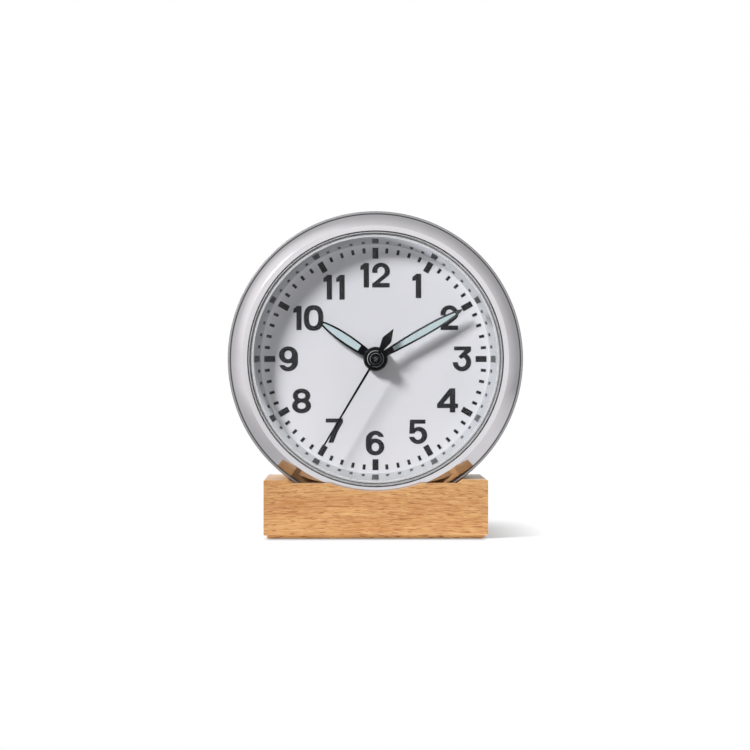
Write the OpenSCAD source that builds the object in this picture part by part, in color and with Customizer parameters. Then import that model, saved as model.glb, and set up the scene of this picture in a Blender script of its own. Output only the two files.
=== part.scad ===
// Round battery desk clock that sits in a cradle cut in an oak block.
// Millimetres, +Z up. The dial faces -Y and +X is to the right of someone who reads it.
// The origin is the bottom centre of the base.
// Pieces of the clock head are drawn in head coordinates: the axis is +Z, which points at
// the reader, and zero is the face of the dial.

/* [Case] */
// Outside diameter of the steel drum
case_d = 152.4; // [140:0.2:180]
// Depth of the head, from the bezel's land to the drum's back edge
case_depth = 40.3; // [38:0.1:60]
// Wall of the drum, seen from the front as a thin rim
drum_wall = 1.3; // [1:0.1:2]
// Rounding of the drum's front edge
drum_round = 0.5; // [0.2:0.1:0.9]
// How far the inner ledge stands in from the drum's wall
ledge_w = 3.9; // [2.5:0.1:5]
// Thickness of the inner ledge
ledge_t = 1.2; // [0.8:0.1:2]

/* [Bezel] */
// Radial width of the bezel, from its opening to the seam
bezel_w = 8.7; // [7.5:0.1:12]
// Width of the flat land that faces the reader
land_w = 2.3; // [1:0.1:4]
// Small bevel between the land and the opening
land_bevel = 0.3; // [0.1:0.05:0.6]
// Height that the convex flank falls from the land to the seam
flank_drop = 4.3; // [3:0.1:8]
// Shares of a quarter turn at which the flank's arc leaves the land and meets the seam
flank_shares = [0.29, 0.6]; // [0:0.01:0.9]
// Width of the fine seam between the bezel and the drum's rim
seam_w = 0.3; // [0.15:0.05:0.6]
// Depth of the seam below the drum's front edge
seam_depth = 2; // [1:0.1:3]
// Distance that the drum's front edge lies below the end of the flank
rim_step = 1; // [0.4:0.1:2]
// Length of the skirt that is pressed into the drum
skirt_h = 5.5; // [4:0.1:8]
// Wall of that skirt
skirt_w = 2.3; // [1.5:0.1:3]

/* [Glass] */
// Thickness of the glass
glass_t = 1.2; // [1:0.1:3]
// Rise of the dome at the middle of the glass
glass_dome = 1.4; // [0.8:0.1:3]
// How far the glass reaches under the bezel's flange
glass_ledge = 1.7; // [1:0.1:3]
// Thickness of the bezel's flange over the glass
flange_t = 0.5; // [0.4:0.1:2.5]
// Bevel round the edge of the glass
glass_bevel = 0.3; // [0.1:0.05:0.5]
// Width of the gasket under the glass
gasket_w = 0.5; // [0.3:0.05:0.8]
// Depth of the gasket's groove
gasket_depth = 0.8; // [0.5:0.05:1.2]
// Height by which the gasket stands out of its groove
gasket_stand = 0.2; // [0.1:0.05:0.4]

/* [Inner ring] */
// Height of the sloped polished ring over the dial
ring_h = 7; // [6.5:0.1:9]
// Radial width of the slope
slope_w = 3.5; // [2.5:0.1:5]
// Radial width of the flat top of the ring that shows inside the bezel's opening
ring_rim = 3.1; // [2.5:0.1:4]
// Slope of the ring at the dial, in degrees over the dial's plane
foot_slope = 52; // [46:1:58]

/* [Dial] */
// Thickness of the dial
dial_t = 0.8; // [0.5:0.1:1.5]
// How far the dial reaches under the sloped ring
dial_tuck = 2.7; // [1:0.1:4]
// Gap between the outer ends of the marks and the ring
mark_inset = 1.8; // [1:0.1:3]
// Length of an hour mark
hour_mark_l = 5.65; // [3:0.05:8]
// Width of an hour mark
hour_mark_w = 3.05; // [1.5:0.05:4]
// Length of a minute mark
minute_mark_l = 2.65; // [1:0.05:4]
// Width of a minute mark
minute_mark_w = 1.5; // [0.8:0.05:2]
// Thickness of the printed marks
mark_t = 0.06; // [0.04:0.01:0.2]

/* [Hands] */
// Position of the hour hand, in degrees clockwise from twelve
hour_at = 303.8; // [0:0.1:360]
// Position of the minute hand, in degrees clockwise from twelve
minute_at = 60.4; // [0:0.1:360]
// Position of the second hand, in degrees clockwise from twelve
second_at = 210.8; // [0:0.1:360]
// Distance between the hour hand's tip and the ring
hour_short = 24.4; // [18:0.1:30]
// Distance between the minute hand's tip and the ring
minute_short = 7.5; // [5:0.1:12]
// Distance between the second hand's tip and the ring
second_short = 3.9; // [3:0.1:8]
// Half the width of the hour hand at its widest
hour_half = 2.85; // [2:0.05:3.5]
// Half the width of the minute hand at its widest
minute_half = 2.5; // [1.8:0.05:3]
// Half the width of the hour hand where it leaves its hub
hour_neck = 2.25; // [1.5:0.05:2.5]
// Half the width of the minute hand where it leaves its hub
minute_neck = 1.55; // [1:0.05:2]
// Black border round the pale inserts
lume_border = 1; // [0.6:0.05:1.3]
// Height by which the inserts stand over the hands
lume_proud = 0.08; // [0.04:0.01:0.2]
// Thickness of the hour and minute hands
hand_t = 0.4; // [0.3:0.05:0.6]
// Radius of the hour hand's hub
hour_hub_r = 6.3; // [5:0.05:7]
// Radius of the minute hand's hub
minute_hub_r = 4.4; // [3:0.05:4.5]
// Radius of the second hand's cap
cap_r = 2.95; // [2:0.05:3]
// Half the width of the second hand at its cap
second_root = 0.62; // [0.4:0.02:0.8]
// Half the width of the second hand at its tip
second_tip = 0.46; // [0.3:0.02:0.6]
// Thickness of the second hand
second_t = 0.25; // [0.2:0.05:0.4]
// Distance from the axis to the tip of the lozenge tail
tail_l = 18.2; // [14:0.1:22]
// Distance from the axis to the widest part of the tail
tail_wide_at = 11.4; // [8:0.1:13]
// Half the width of the tail
tail_half = 2.55; // [1.5:0.05:3.5]

/* [Base] */
// Width of the oak block
base_w = 114.3; // [100:0.1:140]
// Depth of the oak block
base_d = 57.2; // [52:0.1:80]
// Height of the oak block
block_h = 28.1; // [24:0.1:36]
// Height of the plinth board under the block
plinth_h = 1.7; // [1.2:0.1:4]
// How far the plinth lies in from the block's sides
plinth_in = 1.8; // [1:0.1:4]
// Eased long edges of the block
block_ease = 0.4; // [0.2:0.1:1]
// Height of the cradle's lowest line over the block's underside
cradle_floor = 13.6; // [12:0.1:18]
// Thickness of the lip in front of the bezel
lip_t = 7.3; // [3:0.1:9]
// How far the lip's flat top lies below the top of the block
lip_drop = 1.8; // [1:0.1:3]
// How much of the bezel's edge the lip's arc hides
lip_hides = 8.5; // [5:0.1:11]

/* [Back] */
// Thickness of the back cover
cover_t = 2; // [1.5:0.1:3]
// Height of the stiffening rim round the back cover
cover_rim_h = 2.4; // [1:0.1:4]
// Thickness of the battery door
door_t = 1.5; // [1.2:0.1:2.5]
// Travel of the battery door down its rails
door_travel = 22; // [10:1:26]
// Radius of the setting knob
knob_r = 6; // [5:0.1:7]
// Length of the setting knob's grip
knob_l = 7; // [4:0.1:7.5]
// Number of flutes round the setting knob
knob_flutes = 18; // [12:1:24]

/* [Movement] */
// Width and height of the movement's housing
mov_w = 56; // [55.5:0.1:58]
// Thickness of the movement
mov_t = 16; // [15.9:0.1:18]
// Wall of the housing
mov_wall = 1.4; // [1.2:0.1:1.6]
// Corner radius of the housing
mov_round = 3; // [1.5:0.1:4]
// Room for a sprung contact at each end of the AA cell
contact_gap = 1.35; // [1.2:0.05:1.6]

/* [Gears] */
// Width of the movement, counted in modules of the train
modules_across = 280; // [277:1:287]
// Module of the wheels under the dial, over the train's module
motion_share = 1.5; // [1.4:0.01:1.55]
// Thickness of a wheel's rim
wheel_t = 0.6; // [0.4:0.05:0.7]
// Radius of the plain arbors
arbor_r = 0.4; // [0.3:0.05:0.45]
// Radius of the seconds arbor
second_arbor_r = 0.45; // [0.4:0.05:0.5]
// Running clearance of arbors and pipes, on the radius
run_gap = 0.05; // [0.02:0.01:0.08]

/* [Fasteners] */
// Radius of the cradle screws
cradle_screw_r = 2; // [1.5:0.1:2.5]
// Half the distance between the cradle screws
cradle_screw_x = 10; // [7:0.5:13]
// Radius of the small screws
small_screw_r = 1.2; // [1:0.1:1.5]
// How deep the plinth screws reach into the block
plinth_bite = 8; // [5:0.5:11]

/* [Hidden] */
$fn = 96;

// Overrun of a cut past the face that it opens
over = 0.5;
// Gap that keeps parts of one body from sharing a curved face
fit_gap = 0.1;
// The same for a face that is pressed home
press_gap = 0.02;
// Gap between moving parts and what they pass
slide_gap = 0.15;
// Half a turn, in degrees
half_turn = 180;

// Head, radii from the outside in
case_r = case_d / 2;
drum_in_r = case_r - drum_wall;
bezel_r = drum_in_r - seam_w;
open_r = bezel_r - bezel_w;
glass_r = open_r + glass_ledge;
ring_top_r = open_r - ring_rim;
ring_foot_r = ring_top_r - slope_w;
dial_r = ring_foot_r + dial_tuck;
gasket_r = ring_top_r + (open_r - ring_top_r) / 2;
ledge_r = drum_in_r - ledge_w;
mark_r = ring_foot_r - mark_inset;

// Head, heights over the dial's face
dial_back = -dial_t;
glass_z = ring_h + gasket_stand;
glass_edge_z = glass_z + glass_t;
bezel_front = glass_edge_z + flange_t;
flank_end = bezel_front - flank_drop;
drum_front = flank_end - rim_step;
skirt_back = drum_front - seam_depth - skirt_h;
mov_back = dial_back - mov_t;
cover_back = mov_back - cover_t;
drum_back = bezel_front - case_depth;
ledge_front = mov_back + ledge_t;

// Where the head lies on the base
lip_gap = 0.4;
dial_y = -base_d / 2 + lip_t + lip_gap + bezel_front;
case_z = plinth_h + cradle_floor + fit_gap + case_r;
block_top = plinth_h + block_h;
plinth_screw_in = 12;

// Carrier ring, inside the skirt and behind it, with its screw bosses and ribs
carrier_front_r = drum_in_r - skirt_w - fit_gap;
carrier_r = drum_in_r - fit_gap;
carrier_t = 2;
pocket_gap = 0.15;
boss_r = 4;
boss_in = 3.9;
boss_at = open_r - boss_in;
rib_t = 1.6;
rib_count = 8;

// Tapped block that the cradle screws pull on, and those screws
anchor_more = 6;
anchor_w = 2 * (cradle_screw_x + anchor_more);
anchor_l = 10;
anchor_h = 7.5;
anchor_z = -10;
counterbore_h = 5;
screw_head_h = 2.4;
screw_bite = 5.5;
head_over = 1.5;

// Movement: its housing, the bay of the cell and the chamber of the works over it
mov_half = mov_w / 2;
inner_half = mov_half - mov_wall;
shell_split = dial_back - mov_t / 2;
front_in = dial_back - mov_wall;
back_in = mov_back + mov_wall;
cell_gap = 0.05;
cell_l = 2 * (inner_half - contact_gap);
cell_r = (mov_t - mov_wall) / 2 - cell_gap;
cell_y = cell_gap + cell_r - inner_half;
cell_z = mov_back + cell_gap + cell_r;
bay_high = cell_y + cell_r + cell_gap;
chamber_low = bay_high + mov_wall;
nub_r = 2.7;
nub_h = 1.2;
cell_edge = 0.6;
plate_t = 0.4;

// Battery door, the window under it and the rails that hold it. The rails reach below the
// shut door, so that they still hold it when it is open.
door_lap = 2.4;
window_room = 1.7;
window_x = cell_l / 2 + window_room;
door_x = window_x + door_lap;
door_low = -inner_half - door_lap;
door_high = bay_high + door_lap;
door_front = cover_back - slide_gap;
door_back = door_front - door_t;
rail_w = 2;
rail_lip = 1.6;
rail_low = door_low - door_travel / 2;
rail_back = door_back - slide_gap - rail_w / 2;
grip_n = 6;
grip_pitch = 1.8;
grip_half = 9;
stem_r = 2.4;
collar_w = 1.4;

// Teeth of the train
cannon_n = 12;
minute_n = 36;
hour_pinion_n = 10;
hour_n = 40;
centre_n = 64;
third_pinion_n = 8;
third_n = 60;
second_pinion_n = 8;
second_n = 60;
inter_pinion_n = 10;
inter_n = 60;
rotor_n = 12;
// Depth below and height over the pitch circle, in modules
tooth_root = 1.2;
tooth_tip = 0.85;
// Pinions' teeth are thinner by this factor
pinion_thin = 0.9;

// Modules, and distances and directions between the axes; a direction is
// counter-clockwise from +X
train_mod = mov_w / modules_across;
motion_mod = motion_share * train_mod;
motion_dist = motion_mod * (cannon_n + minute_n) / 2;
hour_mod = 2 * motion_dist / (hour_pinion_n + hour_n);
third_dist = train_mod * (third_n + second_pinion_n) / 2;
centre_mod = 2 * third_dist / (centre_n + third_pinion_n);
inter_dist = train_mod * (second_n + inter_pinion_n) / 2;
rotor_mod = 0.9 * train_mod;
rotor_dist = rotor_mod * (inter_n + rotor_n) / 2;
minute_dir = 40;
third_dir = 180;
inter_dir = 110;
rotor_dir = 100;
minute_at_xy = polar(motion_dist, minute_dir);
third_at_xy = polar(third_dist, third_dir);
inter_at_xy = polar(inter_dist, inter_dir);
rotor_at_xy = inter_at_xy + polar(rotor_dist, rotor_dir);

// Direction of each wheel's first tooth, set by the wheel it meshes with
minute_first = mesh_at(cannon_n, minute_n, 0, minute_dir);
hour_first = mesh_at(hour_pinion_n, hour_n, minute_first, minute_dir + half_turn);
third_first = mesh_at(centre_n, third_pinion_n, 0, third_dir);
second_first = mesh_at(third_n, second_pinion_n, third_first, third_dir + half_turn);
inter_first = mesh_at(second_n, inter_pinion_n, second_first, inter_dir);
rotor_first = mesh_at(inter_n, rotor_n, inter_first, rotor_dir);

// Concentric tubes at the centre, from the inside out
cannon_in_r = second_arbor_r + run_gap;
cannon_r = motion_mod * (cannon_n / 2 - 1.5);
pipe_in_r = cannon_r + run_gap;
pipe_r = pipe_in_r + 2 * arbor_r;
bush_in_r = pipe_r + run_gap;
bush_wall = 1.4;
bush_r = bush_in_r + bush_wall;
bush_top = 0.6;

// Heights of the hands' stack over the dial
stack_gap = 0.2;
hour_hub_z = 1.2;
hour_blade_z = 2.3;
hour_top = 3.1;
minute_hub_z = hour_top + stack_gap;
minute_blade_z = 3.75;
minute_top = 4.75;
second_tube_z = minute_top + stack_gap;
second_z = 6.55;
cap_h = 0.45;
hub_bevel = 0.5;

// Lengths of the hands, and the shares of them where a blade is widest and its insert lies
hour_l = ring_foot_r - hour_short;
minute_l = ring_foot_r - minute_short;
second_l = ring_foot_r - second_short;
hour_wide_share = 0.515;
minute_wide_share = 0.58;
hour_lume_shares = [0.287, 0.93];
minute_lume_shares = [0.205, 0.913];
tip_power = 0.6;
hand_steps = 14;

// Layers of the train, front to back; each value is the front face of its wheel
layer_gap = 0.3;
hour_wheel_z = front_in - layer_gap;
pinion_more = 0.15;
motion_z = hour_wheel_z - wheel_t - 2 * layer_gap;
middle_z = motion_z - wheel_t - layer_gap - pinion_more;
middle_t = 0.8;
centre_z = middle_z - middle_t - 1.5 * layer_gap;
third_z = centre_z - wheel_t - 2 * layer_gap;
second_wheel_z = third_z - wheel_t - 2 * layer_gap;
inter_z = second_wheel_z - wheel_t - 2 * layer_gap;
magnet_z = inter_z - wheel_t - 2.5 * layer_gap;
magnet_h = 2;
magnet_r = 2.4;
setting_arbor_r = 0.65;
blind_h = 0.6;
window_n = 5;
rim_modules = 1.5;

// Motor: the stator's lower arm lies round the rotor, and its core carries the coil
post_r = 1.6;
post_in = post_r + 2 * fit_gap;
stator_z = magnet_z - magnet_h / 4;
stator_t = 0.9;
stator_low_y = rotor_at_xy[1];
coil_r = 2.7;
coil_room = 1;
coil_y = inner_half - coil_room - coil_r;
coil_x = 10;
coil_end_t = 0.8;
core_w = 3;
arm_w = 4;
post_x = coil_x + arm_w / 2;

// Circuit board and the quartz on it
board_low_x = 12.5;
board_t = 0.8;
board_room = 1;
can_r = 1;
can_l = 6;

// Functions

function polar(r, a) = [r * cos(a), r * sin(a)];

// Direction of the first tooth of a wheel that meshes with a wheel whose first tooth is at
// first_at, when the second wheel lies in direction dir from the first
function mesh_at(n_first, n_second, first_at, dir) =
    dir + half_turn + half_turn / n_second - (first_at - dir) * n_first / n_second;

// Outline of a wheel: four points a tooth, thinner than half a pitch so that it runs free
function gear_points(n, m, at, thick = 1) = [
    for (i = [0 : n - 1]) let (a = at + i * 360 / n, p = 360 / n)
        each [
            polar(m * (n / 2 - tooth_root), a - p * 0.25 * thick),
            polar(m * (n / 2 + tooth_tip), a - p * 0.1 * thick),
            polar(m * (n / 2 + tooth_tip), a + p * 0.1 * thick),
            polar(m * (n / 2 - tooth_root), a + p * 0.25 * thick)
        ]
];

// Half the width of a leaf-shaped hand at the distance r from its axis
function leaf_half(r, wide_at, length, half, neck, hub) =
    r < wide_at
        ? half - (half - neck) * pow((wide_at - r) / (wide_at - hub), 2)
        : half * pow(max(0, 1 - pow((r - wide_at) / (length - wide_at), 2)), tip_power);

// Distances along a hand, closer together towards its tip
function leaf_stations(from, to) =
    [for (i = [0 : hand_steps]) from + (to - from) * sin(90 * i / hand_steps)];

// Shared shapes

module head() {
    translate([0, dial_y, case_z]) rotate([90, 0, 0]) children();
}

module at(xy) {
    translate([xy[0], xy[1], 0]) children();
}

module rod(r, z1, z2) {
    translate([0, 0, min(z1, z2)]) cylinder(r = r, h = abs(z2 - z1));
}

module tube(r_in, r_out, z1, z2) {
    difference() {
        rod(r_out, z1, z2);
        rod(r_in, min(z1, z2) - over, max(z1, z2) + over);
    }
}

module slab(x1, x2, y1, y2, z1, z2) {
    translate([x1, y1, min(z1, z2)]) cube([x2 - x1, y2 - y1, abs(z2 - z1)]);
}

// A square with round corners, from z1 down to z2
module rounded_slab(half, r, z1, z2) {
    translate([0, 0, z2]) linear_extrude(z1 - z2) union() {
        square([2 * half, 2 * (half - r)], center = true);
        square([2 * (half - r), 2 * half], center = true);
        for (sx = [-1, 1]) for (sy = [-1, 1])
            translate([sx * (half - r), sy * (half - r)]) circle(r);
    }
}

module gear(n, m, at, front, back, thick = 1) {
    translate([0, 0, back]) linear_extrude(front - back)
        polygon(gear_points(n, m, at, thick));
}

// A leaf outline that points up, between two distances from the axis
module leaf(from, to, wide_at, length, half, neck, hub, inset) {
    side = [for (r = leaf_stations(from, to))
        [max(0.02 * half, leaf_half(r, wide_at, length, half, neck, hub) - inset), r]];
    polygon(concat(side, [for (i = [hand_steps : -1 : 0]) [-side[i][0], side[i][1]]]));
}

// A disc with a rounded front edge
module hub_disc(r, round, z1, z2) {
    rotate_extrude() polygon([
        [0, z1], [r, z1],
        for (a = [0 : 18 : 90]) [r - round * (1 - cos(a)), z2 - round * (1 - sin(a))],
        [0, z2]
    ]);
}

// Base

module base_block() {
    color("peru") difference() {
        translate([0, base_d / 2, plinth_h]) rotate([90, 0, 0]) linear_extrude(base_d)
            polygon([
                [-base_w / 2 + block_ease, 0], [base_w / 2 - block_ease, 0],
                [base_w / 2, block_ease], [base_w / 2, block_h - block_ease],
                [base_w / 2 - block_ease, block_h], [-base_w / 2 + block_ease, block_h],
                [-base_w / 2, block_h - block_ease], [-base_w / 2, block_ease]
            ]);
        // the cradle, open at the back
        along_case(case_r + fit_gap, -base_d / 2 + lip_t, base_d / 2 + over);
        // the step that lowers the lip, as wide as the cradle
        intersection() {
            along_case(case_r + fit_gap, -base_d / 2 - over, base_d / 2);
            translate([-base_w / 2, -base_d / 2 - over, block_top - lip_drop])
                cube([base_w, base_d, block_h]);
        }
        // the arc that shows the bezel
        along_case(case_r - lip_hides, -base_d / 2 - over, base_d / 2);
        for (s = [-1, 1]) translate([s * cradle_screw_x, dial_y - anchor_z, 0]) {
            rod(cradle_screw_r + fit_gap, 0, block_top);
            rod(cradle_screw_r + head_over + fit_gap, 0, plinth_h + counterbore_h);
        }
        plinth_screw_places() rod(small_screw_r, 0, plinth_h + plinth_bite);
    }
}

// A cylinder along the head's axis, between two places in depth
module along_case(r, y1, y2) {
    translate([0, y2, case_z]) rotate([90, 0, 0]) cylinder(r = r, h = y2 - y1, $fn = 180);
}

module plinth_screw_places() {
    for (sx = [-1, 1]) for (sy = [-1, 1])
        translate([
            sx * (base_w / 2 - plinth_in - plinth_screw_in),
            sy * (base_d / 2 - plinth_in - plinth_screw_in), 0
        ]) children();
}

module countersink(z_flat, z_deep, r_flat, r_deep) {
    rotate_extrude() polygon([[0, z_flat], [r_flat, z_flat], [r_deep, z_deep], [0, z_deep]]);
}

module base_plinth() {
    color("burlywood") difference() {
        translate([-base_w / 2 + plinth_in, -base_d / 2 + plinth_in, 0])
            cube([base_w - 2 * plinth_in, base_d - 2 * plinth_in, plinth_h]);
        plinth_screw_places() {
            rod(small_screw_r, -over, plinth_h + over);
            countersink(0, small_screw_r, 2 * small_screw_r, small_screw_r);
        }
    }
}

module plinth_screws() {
    sink = 0.1 * plinth_h;
    color("goldenrod") plinth_screw_places() difference() {
        union() {
            countersink(sink, small_screw_r - press_gap, 2 * small_screw_r - sink - press_gap,
                small_screw_r - press_gap);
            rod(small_screw_r - press_gap, small_screw_r - over, plinth_h + plinth_bite - over);
        }
        cross_slot(small_screw_r, 0, 0.6 * small_screw_r);
    }
}

// The two crossed slots of a screw head, between two heights
module cross_slot(r, z1, z2) {
    for (a = [0, 90]) rotate([0, 0, a]) slab(-r, r, -r / 4, r / 4, z1, z2);
}

module cradle_screws() {
    color("silver") for (s = [-1, 1]) translate([s * cradle_screw_x, dial_y - anchor_z, 0])
        difference() {
            seat = plinth_h + counterbore_h;
            inner = case_z - sqrt(pow(drum_in_r, 2) - pow(cradle_screw_x, 2));
            union() {
                rod(cradle_screw_r + head_over, seat - screw_head_h, seat);
                rod(cradle_screw_r, seat, inner + screw_bite);
            }
            cross_slot(cradle_screw_r, 0, seat - screw_head_h / 2);
        }
}

// Head

module case_anchor() {
    color("darkgray") difference() {
        head() intersection() {
            rod(drum_in_r - press_gap, anchor_z - anchor_l / 2, anchor_z + anchor_l / 2);
            slab(-anchor_w / 2, anchor_w / 2, -drum_in_r - over, anchor_h - drum_in_r,
                anchor_z - anchor_l, anchor_z + anchor_l);
        }
        for (s = [-1, 1]) translate([s * cradle_screw_x, dial_y - anchor_z, 0])
            rod(cradle_screw_r, 0, case_z);
    }
}

module case_drum() {
    color("gainsboro") difference() {
        head() rotate_extrude($fn = 180) polygon([
            [case_r, drum_back], [case_r, drum_front - drum_round],
            for (a = [15 : 15 : 75]) [
                case_r - drum_round + drum_round * cos(a),
                drum_front - drum_round + drum_round * sin(a)
            ],
            [case_r - drum_round, drum_front], [drum_in_r, drum_front],
            [drum_in_r, ledge_front], [ledge_r, ledge_front],
            [ledge_r, mov_back], [drum_in_r, mov_back], [drum_in_r, drum_back]
        ]);
        for (s = [-1, 1]) translate([s * cradle_screw_x, dial_y - anchor_z, 0])
            rod(cradle_screw_r + fit_gap, 0, case_z);
    }
}

module bezel_ring() {
    land_r = open_r + land_bevel + land_w;
    start = 90 * flank_shares[0];
    sweep = 90 * flank_shares[1] - start;
    run = (bezel_r - land_r) / (sin(start + sweep) - sin(start));
    fall = (bezel_front - flank_end) / (cos(start) - cos(start + sweep));
    skirt_front = drum_front - seam_depth;
    color("whitesmoke") head() rotate_extrude($fn = 180) polygon([
        [open_r, glass_edge_z], [open_r, bezel_front - land_bevel],
        [open_r + land_bevel, bezel_front],
        for (i = [0 : 10]) let (a = start + sweep * i / 10) [
            land_r + run * (sin(a) - sin(start)), bezel_front - fall * (cos(start) - cos(a))
        ],
        [bezel_r, skirt_front], [drum_in_r - press_gap, skirt_front],
        [drum_in_r - press_gap, skirt_back],
        [drum_in_r - skirt_w, skirt_back], [drum_in_r - skirt_w, dial_back],
        [glass_r + press_gap, dial_back], [glass_r + press_gap, glass_edge_z]
    ]);
}

// The dome ends at the bezel's opening, and the edge under the flange is flat
module crystal() {
    steps = 10;
    dome = [for (i = [0 : steps]) [open_r * i / steps, glass_dome * (1 - pow(i / steps, 2))]];
    color("azure", 0.35) head() rotate_extrude($fn = 180) polygon([
        for (p = dome) [p[0], glass_z + p[1]],
        [glass_r - glass_bevel, glass_z], [glass_r, glass_z + glass_bevel],
        [glass_r, glass_edge_z - glass_bevel], [glass_r - glass_bevel, glass_edge_z],
        for (i = [steps : -1 : 0]) [dome[i][0], glass_edge_z + dome[i][1]]
    ]);
}

module crystal_gasket() {
    color("dimgray") head() tube(gasket_r, gasket_r + gasket_w, ring_h - gasket_depth, glass_z);
}

// The slope is concave: it starts at foot_slope over the dial and steepens to the top
module dial_ring() {
    steps = 6;
    k = ring_h / slope_w / tan(foot_slope);
    bend = ln(k) / ln(2);
    color("lightgray") head() difference() {
        rotate_extrude($fn = 180) polygon([
            for (i = [0 : steps]) let (t = i / steps) [
                ring_foot_r + slope_w * t,
                ring_h * (t / k + (1 - 1 / k) * pow(t, 1 + bend))
            ],
            [glass_r, ring_h], [glass_r, dial_back], [dial_r, dial_back], [dial_r, 0]
        ]);
        tube(gasket_r, gasket_r + gasket_w, ring_h - gasket_depth, ring_h + over);
    }
}

module dial_plate() {
    color("ghostwhite") head() tube(bush_r + fit_gap, dial_r - press_gap, dial_back, 0);
}

module dial_markers() {
    color([0.24, 0.24, 0.26]) head() for (i = [0 : 59]) rotate([0, 0, -6 * i]) {
        is_hour = i % 5 == 0;
        w = is_hour ? hour_mark_w : minute_mark_w;
        l = is_hour ? hour_mark_l : minute_mark_l;
        slab(-w / 2, w / 2, mark_r - l, mark_r, 0, mark_t);
    }
}

module screw_boss_places() {
    for (a = [45 : 90 : 315]) at(polar(boss_at, a)) children();
}

module movement_ring() {
    collar = mov_half + pocket_gap + carrier_t;
    low = mov_back;
    step_z = skirt_back - fit_gap;
    color("white") head() difference() {
        union() {
            rod(carrier_front_r, dial_back - carrier_t, dial_back);
            tube(carrier_front_r - carrier_t, carrier_front_r, step_z, dial_back);
            tube(carrier_front_r - carrier_t, carrier_r, step_z - carrier_t, step_z);
            tube(carrier_r - carrier_t, carrier_r, ledge_front, step_z);
            rounded_slab(collar, mov_round + pocket_gap, dial_back, low);
            for (i = [0 : rib_count - 1]) rotate([0, 0, i * 360 / rib_count])
                slab(mov_half, carrier_front_r - carrier_t / 2, -rib_t / 2, rib_t / 2,
                    low + mov_t / 3, dial_back);
            screw_boss_places() rod(boss_r, low, dial_back);
        }
        rounded_slab(mov_half + pocket_gap, mov_round, dial_back + over, low - over);
        screw_boss_places() rod(small_screw_r, low - over, dial_back - carrier_t);
        slab(-anchor_w / 2 - pocket_gap, anchor_w / 2 + pocket_gap,
            -case_r, anchor_h + pocket_gap - drum_in_r,
            anchor_z - anchor_l / 2 - pocket_gap, anchor_z + anchor_l / 2 + pocket_gap);
    }
}

// Back

module back_cover() {
    color("dimgray") head() difference() {
        union() {
            rod(carrier_r, cover_back, mov_back);
            tube(carrier_r - cover_t, carrier_r, cover_back - cover_rim_h, cover_back);
            // rails that hold the battery door by its two sides, and the stop above it
            for (s = [-1, 1]) mirror([s < 0 ? 1 : 0, 0, 0]) {
                slab(door_x + slide_gap, door_x + slide_gap + rail_w, rail_low, door_high,
                    rail_back, cover_back);
                slab(door_x - rail_lip, door_x + slide_gap + rail_w, rail_low, door_high,
                    rail_back, door_back - slide_gap);
            }
            slab(-door_x, door_x, door_high + slide_gap, door_high + slide_gap + rail_w / 2,
                door_back, cover_back);
            // low collar round the knob's stem
            at(minute_at_xy) rod(knob_r + collar_w, cover_back - slide_gap, cover_back);
        }
        slab(-window_x, window_x, -inner_half, bay_high, cover_back - over, mov_back + over);
        at(minute_at_xy) rod(stem_r + 2 * slide_gap, cover_back - over, mov_back + over);
        screw_boss_places() rod(small_screw_r + fit_gap, cover_back - over, mov_back + over);
    }
}

module cover_screws() {
    head_r = 2.2 * small_screw_r;
    color("silver") head() screw_boss_places() difference() {
        union() {
            rod(small_screw_r, cover_back - over, dial_back - carrier_t - over);
            rotate_extrude() polygon([
                [0, cover_back], [head_r, cover_back],
                [head_r, cover_back - small_screw_r * 0.7],
                [head_r * 0.75, cover_back - small_screw_r * 1.3],
                [0, cover_back - small_screw_r * 1.5]
            ]);
        }
        cross_slot(small_screw_r, cover_back - 2 * small_screw_r, cover_back - small_screw_r * 0.6);
    }
}

module battery_door() {
    color("gray") head() union() {
        slab(-door_x, door_x, door_low, door_high, door_back, door_front);
        slab(-window_x + 2 * rail_w, window_x - 2 * rail_w, door_low + rail_w,
            door_high - rail_w, door_back - rail_w / 2, door_back);
        for (i = [0 : grip_n - 1])
            slab(-grip_half, grip_half, cell_y + (i - grip_n / 2) * grip_pitch,
                cell_y + (i - grip_n / 2 + 0.5) * grip_pitch,
                door_back - rail_w, door_back);
    }
}

module setting_knob() {
    grip_front = cover_back - 2 * slide_gap;
    color("gray") head() at(minute_at_xy) difference() {
        union() {
            rod(stem_r, mov_back - 2 * slide_gap, grip_front - over);
            rotate_extrude() polygon([
                [0, grip_front], [knob_r - hub_bevel, grip_front],
                [knob_r, grip_front - hub_bevel], [knob_r, grip_front - knob_l + hub_bevel],
                [knob_r - hub_bevel, grip_front - knob_l], [0, grip_front - knob_l]
            ]);
        }
        for (i = [0 : knob_flutes - 1]) rotate([0, 0, i * 360 / knob_flutes])
            translate([knob_r + 0.25 * hub_bevel, 0, 0])
                rod(hub_bevel, grip_front - knob_l - over, grip_front + over);
        rod(setting_arbor_r, mov_back, mov_back - knob_l);
    }
}

// Power

module battery() {
    body_half = cell_l / 2 - nub_h;
    color([0.15, 0.15, 0.17]) head() translate([-nub_h / 2, cell_y, cell_z])
        rotate([0, 90, 0]) rotate_extrude() polygon([
            [0, -cell_l / 2 + nub_h / 2], [cell_r - cell_edge, -cell_l / 2 + nub_h / 2],
            [cell_r, -cell_l / 2 + nub_h / 2 + cell_edge], [cell_r, body_half - cell_edge],
            [cell_r - cell_edge, body_half], [nub_r, body_half],
            [nub_r, body_half + 1.5 * nub_h], [0, body_half + 1.5 * nub_h]
        ]);
}

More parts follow.
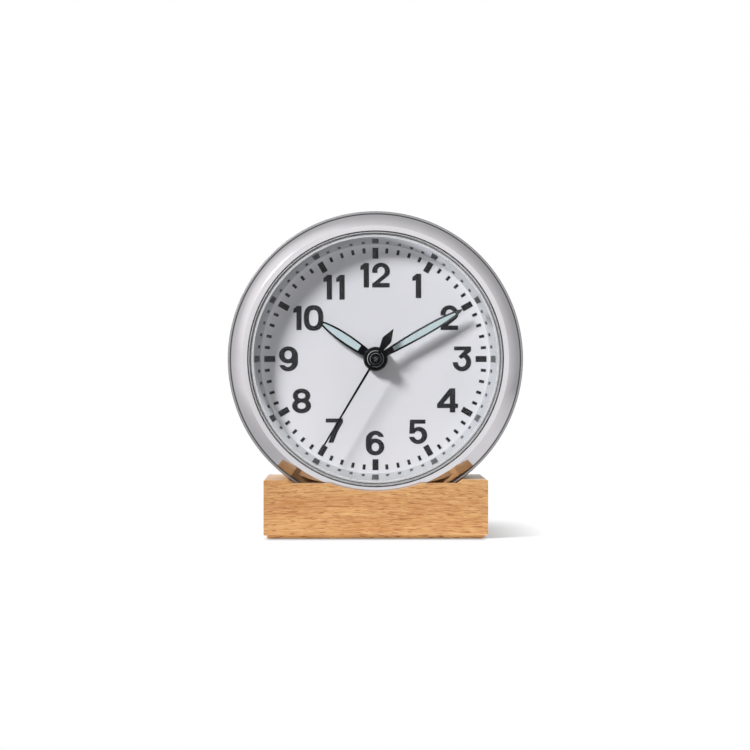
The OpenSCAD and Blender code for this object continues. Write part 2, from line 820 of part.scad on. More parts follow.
// A sprung leaf: a plate on the bay's end wall and a bowed tongue that meets the cell
module contact_leaf(side) {
    tip_x = cell_l / 2;
    half = cell_r / 2;
    root = inner_half - plate_t / 2;
    mirror([side < 0 ? 1 : 0, 0, 0]) translate([0, cell_y, cell_z]) union() {
        slab(inner_half - plate_t, inner_half, -half, half, -half, half);
        rotate([90, 0, 0]) translate([0, 0, -half / 2]) linear_extrude(half) polygon([
            [root, half], [root, half - plate_t], [tip_x + plate_t, plate_t],
            [tip_x + plate_t, -plate_t], [root, plate_t - half], [root, -half],
            [tip_x, -plate_t], [tip_x, plate_t]
        ]);
    }
}

module contact_plus() {
    color("gold") head() contact_leaf(1);
}

module contact_minus() {
    color("gold") head() contact_leaf(-1);
}

// Movement

// The axes that run between the middle plate and the back shell
module train_axes() {
    for (xy = [third_at_xy, inter_at_xy, rotor_at_xy]) at(xy) children();
}

module movement_front() {
    color("lightyellow") head() difference() {
        union() {
            difference() {
                rounded_slab(mov_half, mov_round, dial_back, shell_split);
                // the works' chamber and the battery bay
                slab(-inner_half, inner_half, chamber_low, inner_half, front_in,
                    shell_split - over);
                slab(-inner_half, inner_half, -inner_half, bay_high,
                    cell_z + cell_r + cell_gap, shell_split - over);
            }
            rod(bush_r, dial_back, bush_top);
            at(minute_at_xy) rod(2 * setting_arbor_r, front_in - layer_gap / 3, front_in);
        }
        rod(bush_in_r, front_in - over, bush_top + over);
        at(minute_at_xy) rod(setting_arbor_r + run_gap, front_in - layer_gap - over,
            front_in + blind_h);
    }
}

module middle_plate() {
    half = inner_half - fit_gap;
    color("tan") head() difference() {
        slab(-half, half, chamber_low + fit_gap, half, middle_z - middle_t, middle_z);
        rod(cannon_r + run_gap, middle_z - middle_t - over, middle_z + over);
        at(minute_at_xy) rod(setting_arbor_r + run_gap, middle_z - middle_t - over,
            middle_z + over);
        train_axes() rod(arbor_r + run_gap, middle_z - middle_t - over, middle_z + over);
    }
}

module movement_back() {
    color("ivory") head() difference() {
        union() {
            difference() {
                rounded_slab(mov_half, mov_round, shell_split, mov_back);
                slab(-inner_half, inner_half, chamber_low, inner_half, shell_split + over,
                    back_in);
                slab(-inner_half, inner_half, -inner_half, bay_high, shell_split + over,
                    mov_back - over);
            }
            // posts under the middle plate, clear of the walls, and shorter ones under the
            // stator
            for (s = [-1, 1]) for (y = [chamber_low + post_in, inner_half - post_in])
                at([s * (inner_half - post_in), y])
                    rod(post_r, back_in, middle_z - middle_t);
            for (s = [-1, 1]) at([rotor_at_xy[0] + s * post_x, stator_low_y])
                rod(post_r, back_in, stator_z - stator_t);
        }
        rod(second_arbor_r + run_gap, back_in + over, back_in - blind_h);
        at(minute_at_xy) rod(setting_arbor_r + run_gap, back_in + over, mov_back - over);
        train_axes() rod(arbor_r + run_gap, back_in + over, back_in - blind_h);
    }
}

module stator() {
    x0 = rotor_at_xy[0];
    color("slategray") head() difference() {
        union() {
            slab(x0 - coil_x - arm_w, x0 + coil_x + arm_w, stator_low_y - arm_w,
                stator_low_y + arm_w, stator_z - stator_t, stator_z);
            for (s = [-1, 1]) slab(x0 + s * post_x - arm_w / 2, x0 + s * post_x + arm_w / 2,
                stator_low_y, coil_y + core_w / 2, stator_z - stator_t, stator_z);
            slab(x0 - post_x, x0 + post_x, coil_y - core_w / 2, coil_y + core_w / 2,
                stator_z - stator_t, stator_z);
        }
        at(rotor_at_xy) rod(magnet_r + 2 * layer_gap, stator_z - stator_t - over,
            stator_z + over);
    }
}

module coil() {
    x0 = rotor_at_xy[0];
    color("sienna") head() difference() {
        translate([x0, coil_y, stator_z - stator_t / 2]) rotate([0, 90, 0]) union() {
            rod(coil_r - over, -coil_x + fit_gap, coil_x - fit_gap);
            for (s = [-1, 1]) rod(coil_r, s * (coil_x - fit_gap), s * (coil_x - coil_end_t));
        }
        slab(x0 - coil_x - over, x0 + coil_x + over, coil_y - core_w / 2,
            coil_y + core_w / 2, stator_z - stator_t, stator_z);
    }
}

module circuit_board() {
    color("darkgreen") head() slab(board_low_x, inner_half - fit_gap,
        chamber_low + 3 * post_r, stator_low_y - arm_w - board_room, back_in,
        back_in + board_t);
}

module quartz_can() {
    color("silver") head()
        translate([(board_low_x + mov_half) / 2, chamber_low + 4 * post_r,
            back_in + board_t + can_r])
            rotate([-90, 0, 0]) cylinder(r = can_r, h = can_l);
}

// Train, from the rotor to the hands

// A wheel with round windows, so that its rim stands on spokes
module wheel(n, m, at, front, hub_r) {
    root = m * (n / 2 - tooth_root);
    mid = (root - rim_modules * m + hub_r) / 2;
    hole = (root - rim_modules * m - hub_r) / 2;
    difference() {
        gear(n, m, at, front, front - wheel_t);
        if (hole > hub_r / 2) for (i = [0 : window_n - 1])
            at(polar(mid, at + i * 360 / window_n))
                rod(hole * 0.85, front - wheel_t - over, front + over);
    }
}

module rotor() {
    color("crimson") head() at(rotor_at_xy) union() {
        gear(rotor_n, rotor_mod, rotor_first, inter_z + pinion_more,
            inter_z - wheel_t - pinion_more, pinion_thin);
        rod(magnet_r, magnet_z, magnet_z - magnet_h);
        rod(arbor_r, middle_z - middle_t / 2, back_in - blind_h / 2);
    }
}

module intermediate_wheel() {
    color("orange") head() at(inter_at_xy) union() {
        wheel(inter_n, rotor_mod, inter_first, inter_z, 3 * arbor_r);
        gear(inter_pinion_n, train_mod, inter_first, second_wheel_z + pinion_more,
            second_wheel_z - wheel_t - pinion_more, pinion_thin);
        rod(arbor_r, middle_z - middle_t / 2, back_in - blind_h / 2);
    }
}

module seconds_wheel() {
    color("yellow") head() union() {
        wheel(second_n, train_mod, second_first, second_wheel_z, 3 * second_arbor_r);
        gear(second_pinion_n, train_mod, second_first, third_z + pinion_more,
            third_z - wheel_t - pinion_more, pinion_thin);
        rod(second_arbor_r, second_z, back_in - blind_h / 2);
    }
}

module third_wheel() {
    color("khaki") head() at(third_at_xy) union() {
        wheel(third_n, train_mod, third_first, third_z, 3 * arbor_r);
        gear(third_pinion_n, centre_mod, third_first, centre_z + pinion_more,
            centre_z - wheel_t - pinion_more, pinion_thin);
        rod(arbor_r, middle_z - middle_t / 2, back_in - blind_h / 2);
    }
}

module centre_wheel() {
    color("gold") head() difference() {
        union() {
            wheel(centre_n, centre_mod, 0, centre_z, 1.6 * cannon_r);
            gear(cannon_n, motion_mod, 0, motion_z + pinion_more,
                motion_z - wheel_t - pinion_more, pinion_thin);
            rod(cannon_r, minute_top - hub_bevel, centre_z - wheel_t);
        }
        rod(cannon_in_r, minute_top + over, centre_z - wheel_t - over);
    }
}

module minute_wheel() {
    color("goldenrod") head() at(minute_at_xy) union() {
        wheel(minute_n, motion_mod, minute_first, motion_z, 3 * arbor_r);
        gear(hour_pinion_n, hour_mod, minute_first, hour_wheel_z + layer_gap / 3,
            motion_z - wheel_t / 2, pinion_thin);
        rod(setting_arbor_r, front_in + blind_h / 2, mov_back - knob_l);
    }
}

module hour_wheel() {
    color("wheat") head() difference() {
        union() {
            wheel(hour_n, hour_mod, hour_first, hour_wheel_z, 1.5 * pipe_r);
            rod(pipe_r, hour_top - hub_bevel, hour_wheel_z);
        }
        rod(pipe_in_r, hour_top + over, hour_wheel_z - wheel_t - over);
    }
}

// Hands

module leaf_hand(length, wide_share, half, neck, hub_r, lume_shares, blade_z, lume) {
    wide = length * wide_share;
    if (lume) translate([0, 0, blade_z]) linear_extrude(hand_t + lume_proud)
        leaf(length * lume_shares[0], length * lume_shares[1], wide, length, half, neck,
            hub_r, lume_border);
    else translate([0, 0, blade_z]) linear_extrude(hand_t) difference() {
        leaf(0, length, wide, length, half, neck, hub_r, 0);
        leaf(length * lume_shares[0], length * lume_shares[1], wide, length, half, neck,
            hub_r, lume_border);
    }
}

module hour_hand() {
    color([0.13, 0.13, 0.15]) head() difference() {
        union() {
            rotate([0, 0, -hour_at]) leaf_hand(hour_l, hour_wide_share, hour_half, hour_neck,
                hour_hub_r, hour_lume_shares, hour_blade_z, false);
            hub_disc(hour_hub_r, hub_bevel, hour_hub_z, hour_top);
        }
        rod(pipe_r, hour_hub_z - over, hour_top - hub_bevel);
        rod(pipe_in_r, hour_hub_z, hour_top + over);
    }
}

module hour_lume() {
    color([0.75, 0.84, 0.85]) head() rotate([0, 0, -hour_at])
        leaf_hand(hour_l, hour_wide_share, hour_half, hour_neck, hour_hub_r,
            hour_lume_shares, hour_blade_z, true);
}

module minute_hand() {
    color([0.13, 0.13, 0.15]) head() difference() {
        union() {
            rotate([0, 0, -minute_at]) leaf_hand(minute_l, minute_wide_share, minute_half,
                minute_neck, minute_hub_r, minute_lume_shares, minute_blade_z, false);
            hub_disc(minute_hub_r, hub_bevel, minute_hub_z, minute_top);
        }
        rod(cannon_r, minute_hub_z - over, minute_top - hub_bevel);
        rod(cannon_in_r, minute_hub_z, minute_top + over);
    }
}

module minute_lume() {
    color([0.75, 0.84, 0.85]) head() rotate([0, 0, -minute_at])
        leaf_hand(minute_l, minute_wide_share, minute_half, minute_neck, minute_hub_r,
            minute_lume_shares, minute_blade_z, true);
}

module second_hand() {
    color([0.08, 0.08, 0.09]) head() difference() {
        rotate([0, 0, -second_at]) union() {
            translate([0, 0, second_z]) linear_extrude(second_t) union() {
                polygon([
                    [-second_root, 0], [-second_tip, second_l], [second_tip, second_l],
                    [second_root, 0]
                ]);
                polygon([
                    [0, 0], [tail_half, -tail_wide_at], [0, -tail_l],
                    [-tail_half, -tail_wide_at]
                ]);
            }
            hub_disc(cap_r, hub_bevel / 2, second_z - cap_h, second_z + second_t + cap_h);
            rod(2 * second_arbor_r, second_tube_z, second_z);
        }
        rod(second_arbor_r, second_tube_z - over, second_z);
    }
}

base_block();
base_plinth();
plinth_screws();
cradle_screws();
case_anchor();
case_drum();
bezel_ring();
crystal();
crystal_gasket();
dial_ring();
dial_plate();
dial_markers();
movement_ring();
back_cover();
cover_screws();
battery_door();
battery();
contact_plus();
contact_minus();
movement_front();
middle_plate();
movement_back();
circuit_board();
quartz_can();
coil();
stator();
rotor();
intermediate_wheel();
seconds_wheel();
third_wheel();
centre_wheel();
minute_wheel();
hour_wheel();
setting_knob();
hour_hand();
hour_lume();
minute_hand();
minute_lume();
second_hand();
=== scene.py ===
"""A round steel desk clock on an oak block: materials, printed numerals, light and camera.

The frame supplies every solid part. This script dresses them, and adds only the print on the dial.
All lengths are in metres. The front of the clock faces -Y.
"""
import functools
import math

import bmesh
import bpy
import numpy as np
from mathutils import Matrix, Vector


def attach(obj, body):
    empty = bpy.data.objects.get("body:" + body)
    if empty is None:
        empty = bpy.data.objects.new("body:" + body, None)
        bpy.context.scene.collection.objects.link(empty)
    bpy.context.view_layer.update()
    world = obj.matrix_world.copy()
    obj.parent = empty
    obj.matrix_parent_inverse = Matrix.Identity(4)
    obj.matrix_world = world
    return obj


MM = 0.001
WHITE = (1.0, 1.0, 1.0, 1.0)

# Places on the clock, which the solids have too
DIAL_Y = -12.0 * MM  # face of the dial plate
DIAL_Z = 91.6 * MM  # height of the hands' axis

# Print on the dial
INK_THICK = 0.06 * MM
INK_SUNK = 0.01 * MM
GLYPH_CELL = 1 / 72  # of the numeral's height
GLYPH_WIDE, GLYPH_HIGH = (-0.1, 1.45), (-0.1, 1.12)  # in numeral heights, with room round the shape
FAR_LOW, FAR_HIGH = -1, 2  # clear of every numeral
NEARLY_FLAT = 0.002  # faces that bend less than this are one, in radians

# Boxes of the numerals on the dial, in mm from the hands' axis: left, bottom, right, top
NUMERAL_BOXES = {
    1: (19.1, 31.5, 23.7, 44.1),
    2: (33.7, 15.0, 42.9, 27.8),
    3: (40.0, -6.4, 49.6, 6.5),
    4: (31.9, -27.7, 42.7, -15.2),
    5: (17.4, -44.0, 26.8, -31.4),
    6: (-5.0, -49.9, 4.6, -37.1),
    7: (-25.7, -43.3, -16.8, -30.8),
    8: (-43.1, -28.1, -33.3, -15.3),
    9: (-49.9, -6.4, -40.1, 6.5),
    10: (-42.5, 14.6, -26.9, 27.8),
    11: (-26.9, 30.7, -15.9, 43.5),
    12: (-7.8, 37.0, 7.5, 49.8),
}
# Where the second figure of a pair starts, in numeral heights
TEN_STEP, ELEVEN_STEP, TWELVE_STEP = 0.43, 0.504, 0.466
NINE_WIDE = 0.749  # the nine is the six turned half round in this width

# Camera
CAMERA_PLACE = (-14.6 * MM, -1000.6 * MM, 83.3 * MM)
CAMERA_TURN = math.radians(-0.833)
CAMERA_LENS, SENSOR = 91.7, 36.0  # both in mm

# Lamps: the way to each, its strength and how wide it is in the sky
KEY_FROM, KEY_STRENGTH, KEY_SPREAD = Vector((-0.672, -0.375, 0.639)), 5.8, math.radians(11.0)
FRONT_FROM, FRONT_STRENGTH, FRONT_SPREAD = Vector((0.15, -1.0, 0.12)), 0.2, math.radians(50)

# The room: its even light on matt things, and what polished metal sees of it
FILL = 0.155
ROOM_LEVEL = 1.36
# Tones by place, from 0 behind the camera to 1 behind the clock
ROOM_TONES = ((0.0, 1.12), (0.05, 1.03), (0.19, 0.88), (0.25, 0.8), (0.345, 0.7), (0.43, 0.62),
              (0.53, 0.57), (0.72, 0.6), (0.86, 0.85))
ROOM_TILT = -0.2  # it is brighter on the left
CAMERA_EDGE, CAMERA_TONE = (0.0002, 0.0005), 0.05  # the camera's own dark opening, in the same places
# Soft panels seen in reflections: the way to each, cosines of its soft edge, level
PANELS = (
    (Vector((-0.46, -0.77, 0.44)).normalized(), (0.977, 0.993), 7.0),
    (Vector((-0.62, -0.52, 0.58)).normalized(), (0.82, 0.98), 0.25),
    (Vector((0.4, -0.82, -0.4)).normalized(), (0.975, 0.992), 2.2),
)

# The floor: half its side, and the share of that where it starts to fade out
FLOOR_REACH, FLOOR_FADE = 0.45, 0.18
BLOCK_HALF = (57.1 * MM, 28.6 * MM)
# Past this the camera sees plain white, and polished metal sees it brighter on the right
SHADE_REACH = 34 * MM
SHADE_STRETCH = 0.36  # the clock's shadow reaches further to the back and front
FLOOR_WHITE = 1.02
FLOOR_SLANT, FLOOR_SLANT_HALF = (-0.25, 0.27), 110 * MM
# Nearer the block it is a grey that takes shadows, with a glow that lifts it
FLOOR_ALBEDO, FLOOR_GLOW = 0.4, 0.46
# The light that it gives back to matt things, close to the block and further off
FLOOR_NEAR, FLOOR_BOUNCE = (4 * MM, 30 * MM), (0.68, 0.12)
# The painted contact shadow along the block's foot, which dies away towards its corners
CONTACT_REACH, CONTACT_TONE = 13 * MM, 0.36
CONTACT_HALF, CONTACT_PINCH = 53 * MM, 3.0


def srgb(red, green, blue):
    """An 8-bit screen colour as a linear one, by the sRGB curve."""
    def linear(value):
        share = value / 255
        return share / 12.92 if share <= 0.04045 else ((share + 0.055) / 1.055) ** 2.4
    return (linear(red), linear(green), linear(blue), 1.0)


def grey(tone, blue=1.0):
    return (tone, tone, tone * blue, 1.0)


def placed(name, data):
    """A new object in the scene."""
    piece = bpy.data.objects.new(name, data)
    bpy.context.scene.collection.objects.link(piece)
    return piece


# Node helpers

class Nodes:
    """Short calls that add shader nodes to one node tree."""

    def __init__(self, tree):
        self.tree = tree

    def node(self, kind, inputs=None, **settings):
        """A new node, with each input linked to a socket or set straight to a constant."""
        made = self.tree.nodes.new(kind)
        for key, value in settings.items():
            setattr(made, key, value)
        for key, value in (inputs or {}).items():
            self.feed(made.inputs[key], value)
        return made

    def feed(self, socket, value):
        if isinstance(value, bpy.types.NodeSocket):
            self.tree.links.new(value, socket)
        else:
            socket.default_value = value

    def math(self, operation, *values, clamp=False):
        return self.node("ShaderNodeMath", dict(enumerate(values)),
                         operation=operation, use_clamp=clamp).outputs[0]

    def add(self, *values):
        return functools.reduce(lambda total, value: self.math("ADD", total, value), values)

    def minus(self, first, second):
        return self.math("SUBTRACT", first, second)

    def times(self, *values):
        return functools.reduce(lambda total, value: self.math("MULTIPLY", total, value), values)

    def weigh(self, *pairs):
        """A sum of values, each times its weight."""
        return self.add(*[self.times(value, weight) for value, weight in pairs])

    def length(self, first, second):
        """The length of a line from its two parts, which are square to each other."""
        return self.math("SQRT", self.add(self.times(first, first), self.times(second, second)))

    def span(self, value, source, target=(0.0, 1.0), kind="LINEAR"):
        """A value carried over from one range to another, and held at its ends."""
        return self.node("ShaderNodeMapRange", {
            "Value": value, "From Min": source[0], "From Max": source[1],
            "To Min": target[0], "To Max": target[1]}, interpolation_type=kind).outputs["Result"]

    def split(self, vector):
        return self.node("ShaderNodeSeparateXYZ", {0: vector}).outputs

    def join(self, x, y, z):
        return self.node("ShaderNodeCombineXYZ", {0: x, 1: y, 2: z}).outputs[0]

    def mix(self, share, first, second):
        """One of two colours, or a blend of them."""
        return self.node("ShaderNodeMix", {0: share, 6: first, 7: second}, data_type="RGBA").outputs[2]

    def choose(self, share, first, second):
        """One of two vectors, or a blend of them."""
        return self.node("ShaderNodeMix", {0: share, 4: first, 5: second}, data_type="VECTOR").outputs[1]

    def ramp(self, share, colours):
        """Colours along a share, given as pairs of place and colour."""
        made = self.node("ShaderNodeValToRGB", {"Fac": share})
        stops = made.color_ramp.elements
        while len(stops) < len(colours):
            stops.new(0.5)  # anywhere, because each stop gets its place below
        for stop, (place, colour) in zip(stops, colours):
            stop.position, stop.color = place, colour
        return made.outputs["Color"]

    def blend(self, share, first, second):
        """One of two shaders, or a blend of them."""
        return self.node("ShaderNodeMixShader", {0: share, 1: first, 2: second}).outputs[0]

    def transparent(self):
        return self.node("ShaderNodeBsdfTransparent").outputs[0]

    def glow(self, strength):
        return self.node("ShaderNodeEmission", {"Strength": strength}).outputs[0]


class Surface(Nodes):
    """A material with a Principled shader, and short calls for what drives it."""

    def __init__(self, name, **values):
        self.material = bpy.data.materials.new(name)
        self.material.use_nodes = True
        super().__init__(self.material.node_tree)
        self.shader = self.tree.nodes["Principled BSDF"]
        self.output = self.tree.nodes["Material Output"]
        for socket, value in values.items():
            self.drive(socket.replace("_", " "), value)

    def drive(self, socket, value):
        self.feed(self.shader.inputs[socket], value)

    def place(self, scale=1.0, turn=(0, 0, 0)):
        """The object's own coordinates, times one scale or one each for X, Y and Z."""
        scales = scale if isinstance(scale, tuple) else (scale,) * 3
        coords = self.node("ShaderNodeTexCoord").outputs["Object"]
        return self.node("ShaderNodeMapping", {
            "Vector": coords, "Scale": scales, "Rotation": turn}).outputs[0]

    def noise(self, where, detail=2.0, rough=0.5):
        """Noise at a vector, or over the whole object at a scale for place(), in waves per metre."""
        if not isinstance(where, bpy.types.NodeSocket):
            where = self.place(where)
        return self.node("ShaderNodeTexNoise", {
            "Vector": where, "Scale": 1.0, "Detail": detail, "Roughness": rough}).outputs["Fac"]

    def tones(self, value, source, low, high):
        """Two close colours, spread over a range of a value."""
        return self.mix(self.span(value, source), low, high)

    def bump(self, height, depth, strength, normal=None):
        made = self.node("ShaderNodeBump", {"Height": height, "Distance": depth, "Strength": strength})
        if normal is not None:
            self.feed(made.inputs["Normal"], normal)
        self.drive("Normal", made.outputs["Normal"])

    def facing(self):
        return self.node("ShaderNodeNewGeometry").outputs["Normal"]

    def within(self, value, low, high):
        return self.times(self.math("GREATER_THAN", value, low), self.math("LESS_THAN", value, high))


# Materials

# The mean of noise, the ranges of it that tones are spread over, and the same for two noises added
MEAN = 0.5
MIDDLE, MOST, MOST_OF_TWO = (0.35, 0.65), (0.3, 0.7), (0.7, 1.3)

# The joint between bezel and drum, how far the shade painted along it spreads, and how dark that painted
# shade is on either side
SEAM = (74.6 * MM, 74.9 * MM)
SEAM_FRONT, SEAM_BACK = -15.2 * MM, -14.4 * MM
SEAM_SHADE = 0.45 * MM
BEZEL_SEAM_SHADE, DRUM_SEAM_SHADE = 0.8, 0.85

# The bezel's flat land starts here. What faces ahead inside it is shaded as part of the land
LAND_START, LAND_FACING = 66.25 * MM, -0.3
AHEAD = (0, -1, 0)

# The inner ring's slope, from foot to top, and its lean: at the foot, what is added on the way to the
# top, and how soon
SLOPE = (59.3 * MM, 62.8 * MM)
SLOPE_EDGE = 0.06 * MM
SLOPE_FOOT, SLOPE_GAIN, SLOPE_BEND = math.radians(53.0), math.radians(8.5), 0.6

# Tones across the inner ring's rim, by radius in mm. The dark band just inside the bezel's opening is
# painted shade from the bezel's wall
RIM_TONES_WITH_PAINTED_SHADE = ((62.9, 0.42), (63.6, 0.4), (64.0, 0.1), (64.15, 0.05), (64.65, 0.05),
             (64.8, 0.35), (65.2, 0.35), (65.35, 0.05), (65.75, 0.05), (67.6, 0.5))
RIM_BLUE = 1.03
RIM_LINES = 4000.0  # turned lines, in noise waves per metre

# A grey painted on the hubs' rounded edges as their highlight: where, by radius and by how far a face
# looks ahead, and how dull it is there
HUB_GLEAM_RADII, HUB_FACING = (2.5 * MM, 4.45 * MM), (-0.985, -0.9)
HUB_PAINTED_GLEAM, HUB_DULL = srgb(120, 121, 124), 0.3

# Oak: the tree's middle lies behind and below the block, in y and z
OAK_PITH = (52 * MM, -68 * MM)
OAK_RING = 1.9 * MM
OAK_SWAY = 3.2 * MM
OAK_LEAN = -0.012  # the fibres climb a little towards the left
OAK_BOW = 0.55  # and bend, per metre
OAK_FADE = 0.45  # the board is a little paler towards the right, per metre
# Early wood lies round this share of a ring. It starts to show at the first distance from there, and
# is full at the second
EARLY_AT, EARLY_EDGES = 0.3, (0.34, 0.02)
# Parts of the noise's range: what the board's two colours are spread over, and where pale hairs show
BOARD_RANGE, HAIR_RANGE = (0.38, 0.62), (0.5, 0.75)
# Colours laid over the two of the board, each with how much of it shows
OAK_EARLY, EARLY_SHOWS = srgb(186, 122, 66), 0.3
OAK_HAIR, HAIR_SHOWS = srgb(240, 202, 150), 0.4
OAK_PORE, PORE_SHOWS = srgb(156, 96, 50), 0.8
# Painted light: a greyer tone laid on faces that look up, set for how the light and sheen fall on the
# top
OAK_TOP_PAINTED_LIGHT, TOP_SHOWS, LOOKS_UP = srgb(162, 130, 92), 0.45, (0.6, 0.9)  # on faces that look up
# Noise above the cut is a pore, and there are more of them in the early wood
PORE_CUT, PORE_CROWD, PORE_EDGE = 0.645, 0.06, 0.05

# The cell's sleeve changes colour at the first place and ends at the second. Its band has a metal sheen
CELL_BAND_X, CELL_TIP_X = 13 * MM, 24.2 * MM
BAND_METAL = 0.6
WIRE_PITCH = 0.22 * MM
TRACK_EDGE = (0.05, 0.09)  # of a noise cell, from its border


def oak(name, low, high):
    """Oiled oak sawn along X: growth rings, fine fibres and open pores as short dark dashes."""
    wood = Surface(name, IOR=1.5, Coat_Weight=0.3, Coat_Roughness=0.3)
    x, y, z = wood.split(wood.place())
    level = wood.add(wood.minus(z, wood.times(x, OAK_LEAN)), wood.times(x, x, OAK_BOW))
    slow = wood.noise((9, 30, 38), detail=3.0, rough=0.6)
    sway = wood.times(wood.minus(slow, MEAN), OAK_SWAY)
    early = early_wood(wood, y, level, sway)

    def grain(along, across, detail, rough):
        return wood.noise(wood.join(wood.times(x, along), wood.times(y, across),
                                    wood.times(wood.add(level, sway), across)), detail, rough)

    fibre = grain(along=110.0, across=1500.0, detail=4.0, rough=0.62)
    hair = grain(along=330.0, across=4800.0, detail=3.0, rough=0.6)
    specks = grain(along=200.0, across=1650.0, detail=1.5, rough=0.4)
    pore = oak_pores(wood, specks, early)
    broad = wood.noise((16, 150, 150))
    tone = wood.add(wood.weigh((fibre, 0.66), (broad, 0.34)), wood.times(x, OAK_FADE))
    board = wood.tones(tone, BOARD_RANGE, low, high)
    banded = wood.mix(wood.times(early, EARLY_SHOWS), board, OAK_EARLY)
    lit = wood.mix(wood.times(wood.span(hair, HAIR_RANGE), HAIR_SHOWS), banded, OAK_HAIR)
    # Painted light on the top: faces that look up take the greyer top tone
    top = wood.span(wood.split(wood.facing())["Z"], LOOKS_UP, (0.0, TOP_SHOWS))
    wood.drive("Base Color", wood.mix(top, wood.mix(pore, lit, OAK_PORE), OAK_TOP_PAINTED_LIGHT))
    wood.drive("Roughness", wood.span(fibre, MOST, (0.56, 0.4)))
    wood.bump(wood.weigh((fibre, 0.5), (pore, -0.9)), depth=0.08 * MM, strength=0.6)
    return wood.material


def early_wood(wood, y, level, sway):
    """How much a place is in the coarse early wood of its growth ring."""
    radius = wood.length(wood.minus(y, OAK_PITH[0]), wood.minus(level, OAK_PITH[1]))
    turn = wood.math("FRACT", wood.math("DIVIDE", wood.add(radius, sway), OAK_RING))
    return wood.span(wood.math("ABSOLUTE", wood.minus(turn, EARLY_AT)), EARLY_EDGES)


def oak_pores(wood, specks, early):
    """How much a place is in an open pore, which come in patches."""
    patch = wood.noise((26, 90, 90), detail=1.0)
    cut = wood.minus(PORE_CUT, wood.times(wood.add(early, patch), PORE_CROWD))
    return wood.times(wood.span(wood.minus(specks, cut), (0.0, PORE_EDGE)), PORE_SHOWS)


def polar(surface):
    """Distance from the hands' axis, the angle round it, and depth along it."""
    x, depth, z = surface.split(surface.place())
    up = surface.minus(z, DIAL_Z)
    return surface.length(x, up), surface.math("ARCTAN2", up, x), depth


def lathe_lines(steel, across, round_it, rough):
    """Fine turned lines round the hands' axis, with scales in waves per metre and per radian."""
    reach, angle, depth = polar(steel)
    track = steel.join(steel.times(reach, across), steel.times(angle, round_it),
                       steel.times(depth, across))
    return steel.noise(track, detail=3.0, rough=rough)


def brushed_steel():
    """Satin steel spun on a lathe: fine turned lines round the drum, faint smears."""
    steel = Surface("steel", Metallic=1.0)
    reach, _, depth = polar(steel)
    lines = lathe_lines(steel, across=5200.0, round_it=1.2, rough=0.7)
    smear = steel.noise(35, detail=3.0)
    tone = steel.weigh((lines, 0.5), (smear, 0.5))
    clean = steel.tones(tone, MOST, srgb(130, 129, 131), srgb(148, 147, 149))
    # Painted shade: the drum's front darkens towards its joint with the bezel
    close = steel.span(reach, (SEAM[1] + SEAM_SHADE, SEAM[1]))
    seam = steel.times(close, steel.span(depth, (SEAM_BACK, SEAM_FRONT)), DRUM_SEAM_SHADE)
    steel.drive("Base Color", steel.mix(seam, clean, srgb(34, 33, 34)))
    steel.drive("Roughness", steel.span(tone, MOST, (0.24, 0.36)))
    steel.bump(lines, depth=0.012 * MM, strength=0.5)
    return steel.material


def polished_steel():
    """Polished stainless steel with a trace of buffing lines and haze."""
    steel = Surface("polished_steel", Metallic=1.0)
    reach, _, _ = polar(steel)
    lines = lathe_lines(steel, across=2600.0, round_it=3.0, rough=0.65)
    haze = steel.noise(60, detail=4.0, rough=0.6)
    clean = steel.tones(haze, MOST, srgb(184, 182, 185), srgb(190, 188, 191))
    # Painted shade: the bezel darkens towards its joint with the drum
    seam = steel.span(reach, (SEAM[0] - SEAM_SHADE, SEAM[0]), (0.0, BEZEL_SEAM_SHADE))
    edge = steel.times(steel.math("LESS_THAN", reach, LAND_START),
                       steel.math("LESS_THAN", steel.split(steel.facing())["Y"], LAND_FACING))
    steel.drive("Base Color", steel.mix(seam, clean, srgb(40, 39, 40)))
    steel.drive("Roughness", steel.span(steel.add(lines, haze), MOST_OF_TWO, (0.07, 0.13)))
    steel.bump(lines, depth=0.002 * MM, strength=0.25, normal=steel.choose(edge, steel.facing(), AHEAD))
    return steel.material


def ring_steel():
    """The inner ring: a mirror-bright slope, and outside it a darker turned rim under the glass, with
    painted shade by the bezel's wall.
    """
    steel = Surface("ring_steel", Metallic=0.925)
    reach, angle, _ = polar(steel)
    start, end = RIM_TONES_WITH_PAINTED_SHADE[0][0] * MM, RIM_TONES_WITH_PAINTED_SHADE[-1][0] * MM
    wear = steel.noise(700, detail=3.0, rough=0.6)
    slope = steel.tones(wear, MOST, srgb(216, 218, 220), srgb(225, 227, 229))
    # The rim's tones include a band of painted shade just inside the bezel's opening
    rim = steel.ramp(steel.span(reach, (start, end)), [
        ((radius * MM - start) / (end - start), grey(tone, RIM_BLUE)) for radius, tone in RIM_TONES_WITH_PAINTED_SHADE])
    steel.drive("Base Color", steel.mix(steel.math("GREATER_THAN", reach, start), slope, rim))
    lines = steel.noise(steel.join(steel.times(reach, RIM_LINES), angle, 0.0))
    steel.drive("Roughness", steel.span(steel.add(lines, wear), MOST_OF_TWO, (0.04, 0.1)))
    on_slope = steel.within(reach, SLOPE[0] + SLOPE_EDGE, SLOPE[1] - SLOPE_EDGE)
    normal = steel.choose(on_slope, steel.facing(), slope_normal(steel, reach, angle))
    steel.bump(lines, depth=0.001 * MM, strength=0.2, normal=normal)
    return steel.material


def slope_normal(steel, reach, angle):
    """The polished slope's mirror curve, smoother than the few steps of its solid."""
    rise = steel.math("POWER", steel.span(reach, SLOPE), SLOPE_BEND)
    lean = steel.add(steel.times(rise, SLOPE_GAIN), SLOPE_FOOT)
    inward = steel.times(steel.math("SINE", lean), -1.0)
    return steel.join(steel.times(inward, steel.math("COSINE", angle)),
                      steel.times(steel.math("COSINE", lean), -1.0),
                      steel.times(inward, steel.math("SINE", angle)))


